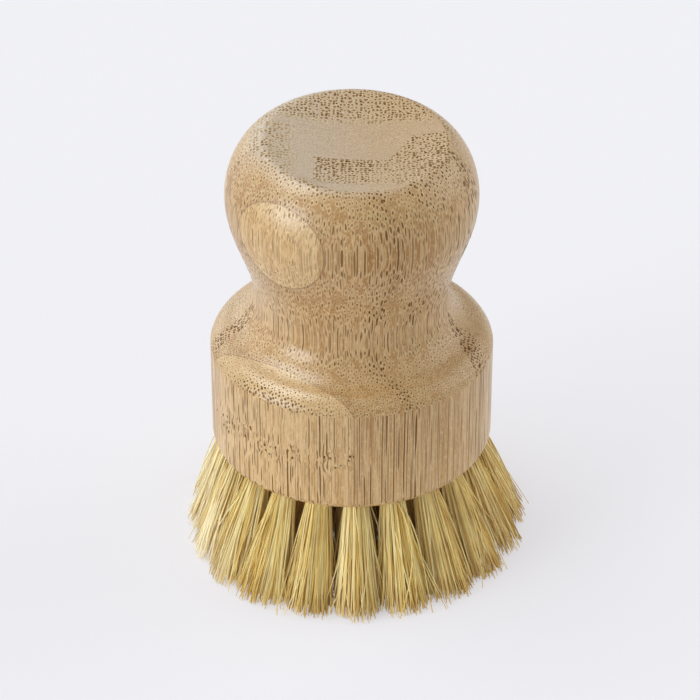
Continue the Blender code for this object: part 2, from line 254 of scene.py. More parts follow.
# Colours of the wood
BROWN_WOOD = (190, 147, 90)
GOLDEN_WOOD = (216, 178, 120)
CLOUD_COLOUR = (222, 186, 134)
BAND_COLOUR = (172, 128, 74)
# Painted sheen: a pale grey that stands in for the dish's reflection of the bright surroundings
PAINTED_SHEEN_GREY = (218, 205, 186)
PATCH_COLOUR = (158, 104, 4)
# Colour of the painted sheen on the neck's left
PAINTED_SHEEN_COLOUR = (234, 218, 190)
WALL_COLOUR = (228, 183, 116)
SEAM_COLOUR = (154, 108, 56)
GRAIN_COLOUR = (156, 108, 50)
DARK_SPECK = (160, 116, 62)
PALE_SPECK = (240, 216, 172)
HALO_COLOUR = (238, 208, 156)
THREAD_COLOUR = (130, 82, 26)
PORE_COLOUR = (108, 66, 4)
SANDED_PORE_COLOUR = (118, 74, 4)
# Painted shade in the pits at the culm's node
PAINTED_PIT_SHADE = (92, 58, 20)
GLUE_COLOUR = (112, 72, 28)

# Gloss and relief of the wood
OILED_COAT = 0.68
SANDED_COAT = 0.32
COAT_LOST_IN_PORES = 0.88
COAT_ROUGHNESS = 0.28
COAT_IOR = 1.58
WOOD_SPECULAR = 0.1
RELIEF = 0.1 * MM

# Colours of the fibres and the wire, with painted light that makes the fibres on the left and on the
# right paler
GOLDEN_FIBRE = (240, 204, 90)
PALE_FIBRE = (255, 247, 185)
# Painted light: fibres on the right made paler, as if lit more
RIGHT_SIDE_PAINTED_LIGHT = (250, 228, 158)
# Painted light: fibres on the far left made paler, as if lit more
LEFT_SIDE_PAINTED_LIGHT = (255, 250, 222)
ROOT_FIBRE = (255, 206, 104)
MOTTLED_FIBRE = (190, 144, 64)
BROAD_FIBRE = (196, 150, 64)
TIP_FIBRE = (208, 164, 62)
FIBRE_ROUGHNESS = 0.45
FIBRE_SPECULAR = 0.5
WIRE_COLOURS = ((168, 168, 170), (205, 205, 206))
WIRE_ROUGHNESSES = (0.25, 0.45)


def ring_lean(ring):
    return ring * RING_LEAN


def mouth_radius(ring):
    return ring * (HOLE_DIAMETER + HOLE_WALL) + HOLE_DEPTH * math.sin(ring_lean(ring))


def tip_radius(ring):
    return mouth_radius(ring) + BRISTLE_LENGTH * math.tan(ring_lean(ring))


def tip_reach(ring):
    inward = tip_radius(ring) - tip_radius(ring - 1) if ring else tip_radius(1)
    outward = tip_radius(ring + 1) - tip_radius(ring) if ring < OUTER else inward
    return (min(inward, outward) - TUFT_GAP) / 2


def tip_breadth(ring):
    if ring == 0:
        return tip_reach(ring)
    return (2 * math.pi * tip_radius(ring) / RING_COUNTS[ring] - TUFT_GAP) / 2


def tuft_name(kind, ring, index):
    name = RING_NAMES[ring]
    return f"{kind}_{name}" if RING_COUNTS[ring] == 1 else f"{kind}_{name}_{index + 1:02d}"


def tuft_matrix(ring, index):
    """Frame at a hole's mouth, with X away from the middle of the brush and Z up."""
    turn = Matrix.Rotation(RING_TURN + 2 * math.pi * index / RING_COUNTS[ring], 4, "Z")
    return turn @ Matrix.Translation((mouth_radius(ring), 0, BRISTLE_LENGTH))


def hole_lean(ring):
    return Matrix.Rotation(-ring_lean(ring), 4, "Y")


BASE_RADIUS = mouth_radius(OUTER) + HOLE_DIAMETER / 2 + EDGE_LAND


def colour(red, green, blue):
    """A colour given as it looks, from 0 to 255, as Blender's linear values."""
    parts = [value / 255 for value in (red, green, blue)]
    return (*(part / 12.92 if part <= 0.04045 else ((part + 0.055) / 1.055) ** 2.4
              for part in parts), 1.0)


class Graph:
    """Short calls that add nodes to a material or a world."""

    def __init__(self, owner):
        owner.use_nodes = True
        self.tree = owner.node_tree
        self.owner = owner
        self.shader = self.tree.nodes.get("Principled BSDF")

    def feed(self, socket, value):
        if isinstance(value, bpy.types.NodeSocket):
            self.tree.links.new(value, socket)
        else:
            socket.default_value = value

    def node(self, kind, inputs=(), **settings):
        made = self.tree.nodes.new(kind)
        for key, value in settings.items():
            setattr(made, key, value)
        for key, value in dict(inputs).items():
            self.feed(made.inputs[key], value)
        return made

    def math(self, operation, *values):
        return self.node("ShaderNodeMath", enumerate(values), operation=operation).outputs[0]

    def times(self, one, other):
        return self.math("MULTIPLY", one, other)

    def line(self, value, factor, offset):
        """The value times a factor, plus an offset."""
        return self.math("MULTIPLY_ADD", value, factor, offset)

    def vector(self, operation, *values):
        return self.node("ShaderNodeVectorMath", enumerate(values), operation=operation).outputs[0]

    def scaled(self, vector, factors):
        return self.vector("MULTIPLY", vector, factors)

    def step(self, value, start, end, low=0.0, high=1.0):
        """Smoothly from low to high as the value goes from start to end."""
        inputs = {"Value": value, "From Min": start, "From Max": end, "To Min": low, "To Max": high}
        return self.node("ShaderNodeMapRange", inputs, interpolation_type="SMOOTHSTEP",
                         clamp=False).outputs[0]

    def noise(self, vector, detail=2.0, roughness=0.5, kind="Fac"):
        inputs = {"Vector": vector, "Scale": 1.0, "Detail": detail, "Roughness": roughness}
        return self.node("ShaderNodeTexNoise", inputs).outputs[kind]

    def mix(self, share, low, high):
        made = self.node("ShaderNodeMix", data_type="RGBA")
        self.feed(made.inputs[0], share)
        self.feed(made.inputs[6], low)
        self.feed(made.inputs[7], high)
        return made.outputs[2]

    def mix_value(self, share, low, high):
        made = self.node("ShaderNodeMix", {0: share, 2: low, 3: high}, data_type="FLOAT")
        return made.outputs[0]

    def mix_vector(self, share, low, high):
        made = self.node("ShaderNodeMix", data_type="VECTOR")
        self.feed(made.inputs[0], share)
        self.feed(made.inputs[4], low)
        self.feed(made.inputs[5], high)
        return made.outputs[1]

    def tinted(self, base, layers):
        """The base with layers over it, each a share and a colour given as it looks."""
        for share, shade in layers:
            base = self.mix(share, base, colour(*shade))
        return base

    def dot(self, vector, direction):
        inputs = {0: vector, 1: direction}
        return self.node("ShaderNodeVectorMath", inputs, operation="DOT_PRODUCT").outputs["Value"]

    def length(self, vector):
        return self.node("ShaderNodeVectorMath", {0: vector}, operation="LENGTH").outputs["Value"]

    def xyz(self, vector):
        return self.node("ShaderNodeSeparateXYZ", {0: vector}).outputs

    def point(self, x, y, z):
        return self.node("ShaderNodeCombineXYZ", {0: x, 1: y, 2: z}).outputs[0]

    def position(self):
        """Place on the brush in millimetres."""
        coordinates = self.node("ShaderNodeTexCoord").outputs["Object"]
        return self.scaled(coordinates, (1 / MM, 1 / MM, 1 / MM))


def strip_field(g, axes, strips):
    """A vector of pore share, tone and clear distance from the nearest glue line."""
    field = UNGLUED
    for sides, axis, start, end, most, least, tone, line in strips:
        inner = None
        for name, sign, offset in sides:
            side = g.line(axes[name], float(sign), -sign * offset)
            inner = side if inner is None else g.math("MINIMUM", inner, side)
        share = g.step(axes[axis], start, end, most, least)
        edge = g.times(inner, 1 / max(line, FINEST_LINE))
        covered = g.math("GREATER_THAN", inner, 0.0)
        field = g.mix_vector(covered, field, g.point(share, tone, edge))
    return field


def block_field(g, axes):
    """The field of the strips in the dish, or of those round it."""
    from_dish = g.vector("SUBTRACT", g.point(axes["x"], axes["y"], 0.0), (*(DISH_CENTRE / MM), 0.0))
    core = g.math("LESS_THAN", g.length(from_dish), CORE_RADIUS)
    high = g.math("GREATER_THAN", axes["z"], CORE_HEIGHT)
    outer_field = strip_field(g, axes, STRIPS)
    core_field = strip_field(g, axes, CORE_STRIPS)
    return g.mix_vector(g.times(core, high), outer_field, core_field)


def pores(g, place, spacing, radius, share, missing=PORES_MISSING):
    """Pores, fewer where their share is low, and the pale wood round each of them."""
    inputs = {"Vector": place, "Scale": 1 / spacing, "Randomness": PORE_SCATTER}
    cells = g.node("ShaderNodeTexVoronoi", inputs, voronoi_dimensions="2D")
    size, depth, lot = g.xyz(cells.outputs["Color"])
    reach = g.length(g.vector("SUBTRACT", place, cells.outputs["Position"]))
    rim = g.times(g.line(size, 0.5, 0.75), radius)
    kept = g.math("GREATER_THAN", lot, g.line(share, -0.25, missing))
    kept = g.times(kept, g.step(share, 0.02, 0.3))
    pore = g.times(g.step(g.math("SUBTRACT", rim, reach), *PORE_EDGE), kept)
    pore = g.times(pore, g.line(depth, 0.35, 0.65))
    halo = g.times(g.step(reach, *PORE_HALO), kept)
    return pore, halo


def culm_node(g, place, z, front_left):
    """How near the culm's node is, which crosses only the strip at the front left."""
    ripple = g.noise(g.scaled(place, RIPPLE), detail=0.0)
    away = g.math("ABSOLUTE", g.math("SUBTRACT", z, g.step(ripple, 0.3, 0.7, *NODE_HEIGHTS)))
    return g.times(g.step(away, *NODE_REACH), front_left)


def among_bundles(g, place, axes, front_left, node, steep):
    """The place across the bundles, which wander, and which swirl and turn at the node.

    They also drift in and out of the turned sides, which ends the streaks that they leave there.
    """
    x, y, z = axes["x"], axes["y"], axes["z"]
    wander = g.noise(g.scaled(place, WANDER), detail=1.0, kind="Color")
    wander = g.scaled(g.vector("SUBTRACT", wander, (0.5, 0.5, 0.5)), WANDER_REACH)
    swirl = g.noise(g.scaled(place, SWIRL), detail=1.0, kind="Color")
    swirl = g.vector("SUBTRACT", swirl, (0.5, 0.5, 0.5))
    swirl = g.scaled(g.vector("MULTIPLY", swirl, g.point(node, node, 0.0)), SWIRL_REACH)
    outward = g.vector("NORMALIZE", g.point(x, y, 0.0))
    run = g.times(z, g.line(front_left, FRONT_LEFT_RUN, DRIFT_RUN))
    drift = g.noise(g.point(g.times(x, DRIFT_WAVES), g.times(y, DRIFT_WAVES), run), detail=1.0)
    shift = g.line(z, -SHIFT_RATE, SHIFT_RATE * SHIFT_FROM)
    shift = g.math("MINIMUM", g.math("MAXIMUM", shift, 0.0), SHIFT_MOST)
    drift = g.line(g.line(drift, DRIFT_REACH, -DRIFT_REACH / 2), steep, shift)
    drift = g.vector("MULTIPLY", outward, g.point(drift, drift, 0.0))
    moved = g.vector("ADD", g.point(x, y, 0.0), wander)
    return g.vector("ADD", moved, g.vector("ADD", swirl, drift))


def node_pits(g, place, node):
    """Small pits that the turned bundles leave at the culm's node."""
    inputs = {"Vector": g.scaled(place, PIT_STRETCH), "Scale": PIT_SCALE}
    cells = g.node("ShaderNodeTexVoronoi", inputs).outputs
    pit = g.times(g.step(cells["Distance"], *PIT_RADII), g.step(node, 0.35, 0.75))
    return g.times(pit, g.math("GREATER_THAN", g.xyz(cells["Color"])[0], PITS_MISSING))


def patch(g, place, centre, radii, full, strength):
    away = g.vector("DIVIDE", g.vector("SUBTRACT", place, centre), radii)
    return g.step(g.length(away), PATCH_END, full, 0.0, strength)


def bamboo_material():
    g = Graph(bpy.data.materials.new("bamboo"))
    place = g.position()
    x, y, z = g.xyz(place)
    axes = {"x": x, "y": y, "z": z}
    axes.update({name: g.dot(place, direction) for name, direction in DIRECTIONS.items()})
    share, tone, edge = g.xyz(block_field(g, axes))

    # Which way the surface faces: steep and upright on the sides, sanded in the dish
    rise = g.xyz(g.node("ShaderNodeNewGeometry").outputs["Normal"])[2]
    steep = g.step(g.math("ABSOLUTE", rise), 0.65, 0.25)
    upright = g.step(g.math("ABSOLUTE", rise), 0.3, 0.1)
    sanded = g.times(g.step(rise, 0.6, 0.9), g.step(z, 78.0, 84.0))
    front_left = g.math("GREATER_THAN", axes["u"], FRONT_LEFT)

    node = culm_node(g, place, z, front_left)
    bundle = among_bundles(g, place, axes, front_left, node, steep)
    crowded = g.math("MAXIMUM", sanded, g.step(share, 0.7, 1.3, 0.0, 1.6))
    streak_radius = g.step(z, 55.0, 65.0, *STREAK_RADII)
    radius = g.mix_value(upright, g.line(crowded, CROWDED_GROWTH, DOT_RADIUS), streak_radius)
    fewer = g.times(front_left, g.step(z, 50.0, 60.0, 0.05, 0.25))
    missing = g.line(upright, fewer, PORES_MISSING)
    pore, halo = pores(g, bundle, PORE_SPACING, radius, share, missing)
    thread = pores(g, bundle, THREAD_SPACING, THREAD_RADIUS, g.times(steep, 0.8))[0]
    pit = node_pits(g, place, node)

    grain = g.noise(g.scaled(place, GRAIN), detail=3.0, roughness=0.65)
    speck = g.noise(g.scaled(place, SPECK), detail=3.0, roughness=0.7)
    band = g.noise(g.scaled(place, BAND), detail=1.0)
    cloud = g.noise(g.scaled(place, CLOUD), detail=1.0)
    foot = g.times(front_left, g.step(z, 48.0, 42.0, 0.0, 0.35))
    base = g.mix(g.math("SUBTRACT", tone, foot), colour(*BROWN_WOOD), colour(*GOLDEN_WOOD))

    # Broad differences of colour, with darker wood beside the glue line at the front, and painted
    # sheen: a pale grey over the dish, stronger on the left, and a pale patch on the neck's left
    cloudy = g.times(g.step(cloud, 0.35, 0.65), g.line(tone, 0.3, 0.1))
    # Painted sheen: pale grey over the dish, stronger on the left
    painted_sheen = g.times(sanded, g.step(x, -14.0, 12.0, 0.8, 0.35))
    seam = g.times(g.step(edge, 4.0, 0.5, 0.0, 0.4), g.step(axes["v"], 13.0, 19.0))
    seam = g.times(seam, g.math("SUBTRACT", 1.0, front_left))
    base = g.tinted(base, (
        (cloudy, CLOUD_COLOUR),
        (g.step(band, 0.3, 0.6, 0.25, 0.0), BAND_COLOUR),
        (painted_sheen, PAINTED_SHEEN_GREY),
        (patch(g, place, *BROWN_PATCH), PATCH_COLOUR),
        # Painted sheen on the neck's left
        (patch(g, place, *PAINTED_SHEEN_PATCH), PAINTED_SHEEN_COLOUR),
        (g.step(z, 42.0, 23.0, 0.0, 0.6), WALL_COLOUR),
        (seam, SEAM_COLOUR),
    ))

    # Fine marks: grain, specks, threads, pores, painted shade in the pits, and glue lines
    streaked = g.line(foot, 0.7, g.line(tone, -0.3, 1.0))
    deep = g.times(g.mix_value(steep, 1.0, streaked), g.step(share, 0.2, 0.9, 0.6, 1.0))
    base = g.tinted(base, (
        (g.step(grain, 0.3, 0.56, 0.55, 0.0), GRAIN_COLOUR),
        (g.step(speck, 0.3, 0.5, 0.45, 0.0), DARK_SPECK),
        (g.step(speck, 0.5, 0.7, 0.0, 0.5), PALE_SPECK),
        (g.times(halo, 0.4), HALO_COLOUR),
        (g.times(thread, 0.55), THREAD_COLOUR),
    ))
    dark = g.mix(sanded, colour(*PORE_COLOUR), colour(*SANDED_PORE_COLOUR))
    base = g.mix(g.times(pore, deep), base, dark)
    base = g.tinted(base, (
        # Painted shade in the node's pits
        (g.times(pit, 0.9), PAINTED_PIT_SHADE),
        (g.step(edge, 0.05, 0.13, 0.4, 0.0), GLUE_COLOUR),
    ))
    g.feed(g.shader.inputs["Base Color"], base)

    hollow = g.math("MAXIMUM", pore, pit)
    rough = g.step(speck, 0.3, 0.7, 0.4, 0.5)
    g.feed(g.shader.inputs["Roughness"], g.line(hollow, 0.4, rough))
    coat = g.mix_value(sanded, OILED_COAT, SANDED_COAT)
    coat = g.times(coat, g.line(hollow, -COAT_LOST_IN_PORES, 1.0))
    g.feed(g.shader.inputs["Coat Weight"], coat)
    height = g.line(grain, 0.35, g.times(speck, 0.3))
    height = g.line(thread, -0.5, height)
    height = g.line(hollow, -1.0, height)
    bump = g.node("ShaderNodeBump", {"Height": height, "Strength": 1.0, "Distance": RELIEF})
    g.feed(g.shader.inputs["Normal"], bump.outputs[0])
    g.shader.inputs["Specular IOR Level"].default_value = WOOD_SPECULAR
    g.shader.inputs["Coat Roughness"].default_value = COAT_ROUGHNESS
    g.shader.inputs["Coat IOR"].default_value = COAT_IOR
    return g.owner


def fibre_material():
    g = Graph(bpy.data.materials.new("fibre"))
    along = g.node("ShaderNodeAttribute", attribute_name="along").outputs["Fac"]
    lot = g.node("ShaderNodeAttribute", attribute_name="lot").outputs["Fac"]
    mottle = g.noise(g.scaled(g.position(), MOTTLE), detail=2.0)
    broad = g.noise(g.scaled(g.position(), BROAD), detail=1.0)
    x, y = g.xyz(g.position())[:2]
    inside = g.step(g.length(g.point(x, y, 0.0)), 22.0, 17.0, 0.0, 0.8)
    base = g.tinted(g.mix(lot, colour(*GOLDEN_FIBRE), colour(*PALE_FIBRE)), (
        # Painted light on the fibres at the right
        (g.step(x, 12.0, 28.0, 0.0, 0.6), RIGHT_SIDE_PAINTED_LIGHT),
        (g.times(inside, g.step(along, 0.6, 0.2)), ROOT_FIBRE),
        (g.step(mottle, 0.3, 0.7, 0.15, 0.0), MOTTLED_FIBRE),
        (g.step(broad, 0.42, 0.66, 0.0, 0.25), BROAD_FIBRE),
        (g.step(along, 0.75, 1.0, 0.0, 0.45), TIP_FIBRE),
        # Painted light on the fibres at the far left
        (g.step(x, -22.0, -30.0, 0.0, 0.55), LEFT_SIDE_PAINTED_LIGHT),
    ))
    g.feed(g.shader.inputs["Base Color"], base)
    g.shader.inputs["Roughness"].default_value = FIBRE_ROUGHNESS
    g.shader.inputs["Specular IOR Level"].default_value = FIBRE_SPECULAR
    return g.owner


def wire_material():
    g = Graph(bpy.data.materials.new("anchor_wire"))
    scratches = g.noise(g.scaled(g.position(), SCRATCHES), detail=3.0)
    dark, bright = (colour(*shade) for shade in WIRE_COLOURS)
    g.feed(g.shader.inputs["Base Color"], g.mix(g.step(scratches, 0.3, 0.7), dark, bright))
    g.feed(g.shader.inputs["Roughness"], g.step(scratches, 0.3, 0.7, *WIRE_ROUGHNESSES))
    g.shader.inputs["Metallic"].default_value = 1.0
    return g.owner


def arc(centre, radius, start, end, steps):
    """Points of an arc from one angle to another, both included."""
    angles = np.linspace(start, end, steps + 1)
    return list(zip(centre[0] + radius * np.cos(angles), centre[1] + radius * np.sin(angles)))


def neck_and_shoulder():
    """Height of the neck above the underside, and the radius of the hollow round below it."""
    span = math.sin(SHOULDER_RIM_SLOPE) - math.sin(SHOULDER_SLOPE)
    fillet = (BASE_RADIUS - NECK_RADIUS - SHOULDER_ROUND * span) / (1 - math.sin(SHOULDER_SLOPE))
    height = (WALL_HEIGHT + fillet * math.cos(SHOULDER_SLOPE)
              + SHOULDER_ROUND * (math.cos(SHOULDER_SLOPE) - math.cos(SHOULDER_RIM_SLOPE)))
    return height, fillet


def side_outline():
    """Half section below the widest part of the head, down to the edge of the flat underside."""
    neck_height, fillet = neck_and_shoulder()
    widest = neck_height + HEAD_RISE
    points = []
    for share in np.arange(1, SWELL_STEPS) / SWELL_STEPS:
        radius = NECK_RADIUS + (HEAD_RADIUS - NECK_RADIUS) * (1 + math.cos(math.pi * share)) / 2
        points.append((radius, widest - HEAD_RISE * share))
    points += arc((NECK_RADIUS + fillet, neck_height), fillet, math.pi,
                  1.5 * math.pi - SHOULDER_SLOPE, FILLET_STEPS)
    rim_centre = (BASE_RADIUS - SHOULDER_ROUND * math.sin(SHOULDER_RIM_SLOPE),
                  WALL_HEIGHT - SHOULDER_ROUND * math.cos(SHOULDER_RIM_SLOPE))
    points += arc(rim_centre, SHOULDER_ROUND, math.pi / 2 - SHOULDER_SLOPE,
                  math.pi / 2 - SHOULDER_RIM_SLOPE, RIM_STEPS)[1:]
    wall = np.linspace(WALL_HEIGHT, BASE_EDGE_ROUND, WALL_STEPS + 1)[:-1]
    points += [(BASE_RADIUS, height) for height in wall]
    points += arc((BASE_RADIUS - BASE_EDGE_ROUND, BASE_EDGE_ROUND), BASE_EDGE_ROUND,
                  0, -math.pi / 2, EDGE_STEPS)
    return [(radius, height + BRISTLE_LENGTH) for radius, height in points]


def smooth_min(a, b, softness):
    blend = np.maximum(softness - np.abs(a - b), 0) / softness
    return np.minimum(a, b) - blend ** 2 * softness / 4


def crown_rings():
    """The middle of the dish, and rings from there out to the widest part of the head."""
    widest = BRISTLE_LENGTH + neck_and_shoulder()[0] + HEAD_RISE
    crest_start, crest_end = DISH_RADIUS - CREST_BREADTH, DISH_RADIUS + CREST_BREADTH
    bend_start = math.acos((crest_end - HEAD_RADIUS + CROWN_ROUND) / CROWN_ROUND)
    bend = np.linspace(bend_start, 0, CROWN_STEPS + 1)[1:]
    radii = np.concatenate([np.linspace(0, crest_start, DISH_STEPS + 1)[1:],
                            np.linspace(crest_start, crest_end, CREST_STEPS + 1)[1:],
                            HEAD_RADIUS - CROWN_ROUND + CROWN_ROUND * np.cos(bend)])
    turn = np.arange(TURN_STEPS) * 2 * math.pi / TURN_STEPS
    share = np.clip((HEAD_RADIUS - radii) / (HEAD_RADIUS - crest_end), 0, 1)
    pull = (share * share * (3 - 2 * share))[:, None]
    x = pull * DISH_CENTRE.x + radii[:, None] * np.cos(turn)
    y = pull * DISH_CENTRE.y + radii[:, None] * np.sin(turn)
    from_axis = np.hypot(x, y)
    in_round = np.clip((from_axis - HEAD_RADIUS + CROWN_ROUND) / CROWN_ROUND, 0, 1)
    crown = widest + CROWN_HEIGHT * np.sqrt(1 - in_round ** 2)
    tilt = Matrix.Rotation(DISH_LEAN_RIGHT, 3, "Y") @ Matrix.Rotation(DISH_LEAN_FRONT, 3, "X")
    ball = (DISH_RADIUS ** 2 + DISH_DEPTH ** 2) / (2 * DISH_DEPTH)
    rim = Vector((DISH_CENTRE.x, DISH_CENTRE.y, widest + CROWN_HEIGHT - DISH_DROP))
    middle = rim + tilt @ Vector((0, 0, ball - DISH_DEPTH))
    dish = middle.z - np.sqrt(ball ** 2 - (x - middle.x) ** 2 - (y - middle.y) ** 2)
    z = smooth_min(crown, dish, CREST_SOFTNESS)
    rings = np.stack([x, y, z], axis=2)
    bottom = middle.z - math.sqrt(ball ** 2 - (middle.x - DISH_CENTRE.x) ** 2
                                  - (middle.y - DISH_CENTRE.y) ** 2)
    return np.array([DISH_CENTRE.x, DISH_CENTRE.y, bottom]), rings


def new_object(name, mesh):
    made = bpy.data.objects.new(name, mesh)
    bpy.context.scene.collection.objects.link(made)
    return made


def mesh_of(name, verts, faces):
    mesh = bpy.data.meshes.new(name)
    mesh.from_pydata([tuple(v) for v in verts], [], faces)
    return mesh


def drilled_underside(ring):
    """The flat underside inside a ring of points, with the walls and ends of the tuft holes."""
    steps = len(ring)
    thickness = HOLE_DEPTH + SLAB_MARGIN
    verts = np.concatenate([ring, ring + np.array([0, 0, thickness])])
    sides = [(i, (i + 1) % steps, steps + (i + 1) % steps, steps + i) for i in range(steps)]
    faces = [tuple(reversed(range(steps))), tuple(range(steps, 2 * steps)), *sides]
    slab = new_object("slab", mesh_of("slab", verts, faces))
    bm = bmesh.new()
    length = HOLE_DEPTH + DRILL_MARGIN
    for ring_number, count in enumerate(RING_COUNTS):
        for index in range(count):
            matrix = (tuft_matrix(ring_number, index) @ hole_lean(ring_number)
                      @ Matrix.Translation((0, 0, HOLE_DEPTH - length / 2)))
            bmesh.ops.create_cone(bm, cap_ends=True, segments=HOLE_SIDES, radius1=HOLE_DIAMETER / 2,
                                  radius2=HOLE_DIAMETER / 2, depth=length, matrix=matrix)
    drill_mesh = bpy.data.meshes.new("drills")
    bm.to_mesh(drill_mesh)
    bm.free()
    drills = new_object("drills", drill_mesh)
    boolean = slab.modifiers.new("drills", "BOOLEAN")
    boolean.object = drills
    boolean.solver = "EXACT"
    depsgraph = bpy.context.evaluated_depsgraph_get()
    drilled = bpy.data.meshes.new_from_object(slab.evaluated_get(depsgraph))
    bpy.data.objects.remove(slab)
    bpy.data.objects.remove(drills)
    bm = bmesh.new()
    bm.from_mesh(drilled)
    edge = np.hypot(*ring[0][:2]) * JUST_INSIDE
    top = ring[0][2] + thickness * JUST_INSIDE
    outside = [face for face in bm.faces
               if all(v.co.xy.length > edge for v in face.verts) and len(face.verts) == 4
               or all(v.co.z > top for v in face.verts)]
    bmesh.ops.delete(bm, geom=outside, context="FACES")
    return bm


def make_block():
    middle, crown = crown_rings()
    turn = np.arange(TURN_STEPS) * 2 * math.pi / TURN_STEPS
    outline = np.array(side_outline())
    sides = np.stack([outline[:, :1] * np.cos(turn), outline[:, :1] * np.sin(turn),
                      np.broadcast_to(outline[:, 1:], (len(outline), TURN_STEPS))], axis=2)
    rings = np.concatenate([crown, sides])
    verts = np.concatenate([middle[None], rings.reshape(-1, 3)])
    faces = [(0, 1 + i, 1 + (i + 1) % TURN_STEPS) for i in range(TURN_STEPS)]
    for ring in range(len(rings) - 1):
        first = 1 + ring * TURN_STEPS
        for i in range(TURN_STEPS):
            after = (i + 1) % TURN_STEPS
            faces.append((first + i, first + TURN_STEPS + i, first + TURN_STEPS + after, first + after))
    bm = drilled_underside(rings[-1])
    skin = mesh_of("skin", verts, faces)
    bm.from_mesh(skin)
    bmesh.ops.remove_doubles(bm, verts=bm.verts, dist=MERGE_DISTANCE)
    bmesh.ops.recalc_face_normals(bm, faces=bm.faces)
    mesh = bpy.data.meshes.new("bamboo_block")
    bm.to_mesh(mesh)
    bm.free()
    mesh.shade_smooth()
    mesh.set_sharp_from_angle(angle=SHARP_ANGLE)
    block = new_object("bamboo_block", mesh)
    mesh.materials.append(bamboo_material())
    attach(block, "root")
    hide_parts("handle")


def unit(vectors):
    return vectors / np.linalg.norm(vectors, axis=-1, keepdims=True)


def leg_points(rng, count, ring, side, across_axis):
    """Paths of fibres from the fold in the hole's end to the tips, in the frame at the mouth."""
    lean = ring_lean(ring)
    angle = rng.uniform(0, 2 * math.pi, count)
    radius = np.sqrt(rng.uniform(0, 1, count))
    spot = np.stack([radius * np.cos(angle), radius * np.sin(angle)], axis=1)
    spot[:, across_axis] = side * np.abs(spot[:, across_axis])
    reach = np.array([tip_reach(ring), tip_breadth(ring) * SPREAD])
    reach *= 1 + rng.normal(0, SPREAD_VARIETY)
    tip = spot * reach + rng.normal(0, TIP_FRAY, (count, 2))
    short = np.abs(rng.normal(0, TIP_UNEVENNESS, count))
    short += (rng.uniform(0, 1, count) < SHORT_SHARE) * rng.uniform(0, SHORTEST_BY, count)
    end = 1 - short / BRISTLE_LENGTH
    bow = rng.normal(0, BOW, (count, 2))
    wave = rng.normal(0, WAVE, (count, 2))
    stray = rng.uniform(0, 1, count) < STRAY_SHARE
    bow[stray] *= STRAY_BOW
    tip[stray] += rng.normal(0, STRAY_REACH, (int(stray.sum()), 2))
    tip[:, 0] = np.minimum(tip[:, 0], FURTHEST_TIP - tip_radius(ring))
    points = []
    for depth, slim in LEVELS_IN_HOLE:
        u, v = spot[:, 0] * TUFT_RADIUS * slim, spot[:, 1] * TUFT_RADIUS * slim
        points.append(np.stack([u * math.cos(lean) - depth * math.sin(lean), v,
                                u * math.sin(lean) + depth * math.cos(lean)], axis=1))
    for share in LEG_SHARES:
        way = share * end
        opened = (way ** SPLAY_POWER)[:, None]
        flat = spot * TUFT_RADIUS * (1 - opened) + tip * opened
        flat = flat + bow * math.sin(math.pi * share) + wave * math.sin(2 * math.pi * share)
        down = -BRISTLE_LENGTH * way
        root_rise = flat[:, 0] * math.sin(lean) * (1 - way)
        points.append(np.stack([flat[:, 0] - down * math.tan(lean), flat[:, 1],
                                down + root_rise], axis=1))
    return np.stack(points, axis=1)


def folded_fibres(rng, count, ring):
    """Paths of fibres that run from tip to tip over the anchor, in the frame at the mouth."""
    across_axis = 1 if RING_NAMES[ring] in RADIAL_ANCHORS else 0
    one = leg_points(rng, count, ring, 1, across_axis)
    other = leg_points(rng, count, ring, -1, across_axis)
    lean = ring_lean(ring)
    lift = ANCHOR_HEIGHT / 2 + FOLD_CLEARANCE + rng.uniform(*FOLD_RISE, count) * MM
    middle = (one[:, 0] + other[:, 0]) / 2
    fold = middle + lift[:, None] * np.array([-math.sin(lean), 0, math.cos(lean)])
    path = np.concatenate([one[:, ::-1], fold[:, None], other], axis=1)
    in_hole = one.shape[1] - len(LEG_SHARES)
    along = np.concatenate([np.zeros(in_hole), LEG_SHARES])
    return path, np.concatenate([along[::-1], [0], along])


def tubes(paths, radii, wide):
    """Vertices, faces and a flat map of closed tubes along paths."""
    count, steps = paths.shape[:2]
    sides = FIBRE_SIDES
    way = unit(np.gradient(paths, axis=1))
    side = unit(np.cross(way, wide))
    other = np.cross(way, side)
    turn = np.arange(sides) * 2 * math.pi / sides
    verts = (paths[:, :, None]
             + radii[:, :, None, None] * (side[:, :, None] * np.cos(turn)[:, None]
                                          + other[:, :, None] * np.sin(turn)[:, None]))
    ring_start = np.arange(count)[:, None, None] * steps * sides + np.arange(steps - 1)[:, None] * sides
    here = ring_start + np.arange(sides)
    after = ring_start + (np.arange(sides) + 1) % sides
    quads = np.stack([here, after, after + sides, here + sides], axis=-1).reshape(-1, 4)
    first = np.arange(count)[:, None] * steps * sides + np.arange(sides)
    last = first + (steps - 1) * sides
    caps = np.concatenate([first[:, ::-1], last])

    # Each fibre has a column of the map, and each of its sides a part of that column
    shape = (count, steps - 1, sides)
    left = (np.arange(count)[:, None, None] + np.arange(sides) / sides) / count + np.zeros(shape)
    right = left + 1 / (sides * count)
    low = np.arange(steps - 1)[:, None] / steps + np.zeros(shape)
    high = low + 1 / steps
    quad_map = np.stack([left, low, right, low, right, high, left, high], axis=-1).reshape(-1, 2)
    column = np.arange(count)[:, None] / count + np.array([0, 1, 0.5]) / count
    tip_height = np.array([0, 0, 0.5]) / steps
    cap_map = np.stack([np.concatenate([column, column]),
                        np.concatenate([np.broadcast_to(tip_height, (count, 3)),
                                        np.broadcast_to(1 - tip_height, (count, 3))])], axis=-1)
    faces = quads.tolist() + caps.tolist()
    return verts.reshape(-1, 3), faces, np.concatenate([quad_map, cap_map.reshape(-1, 2)])


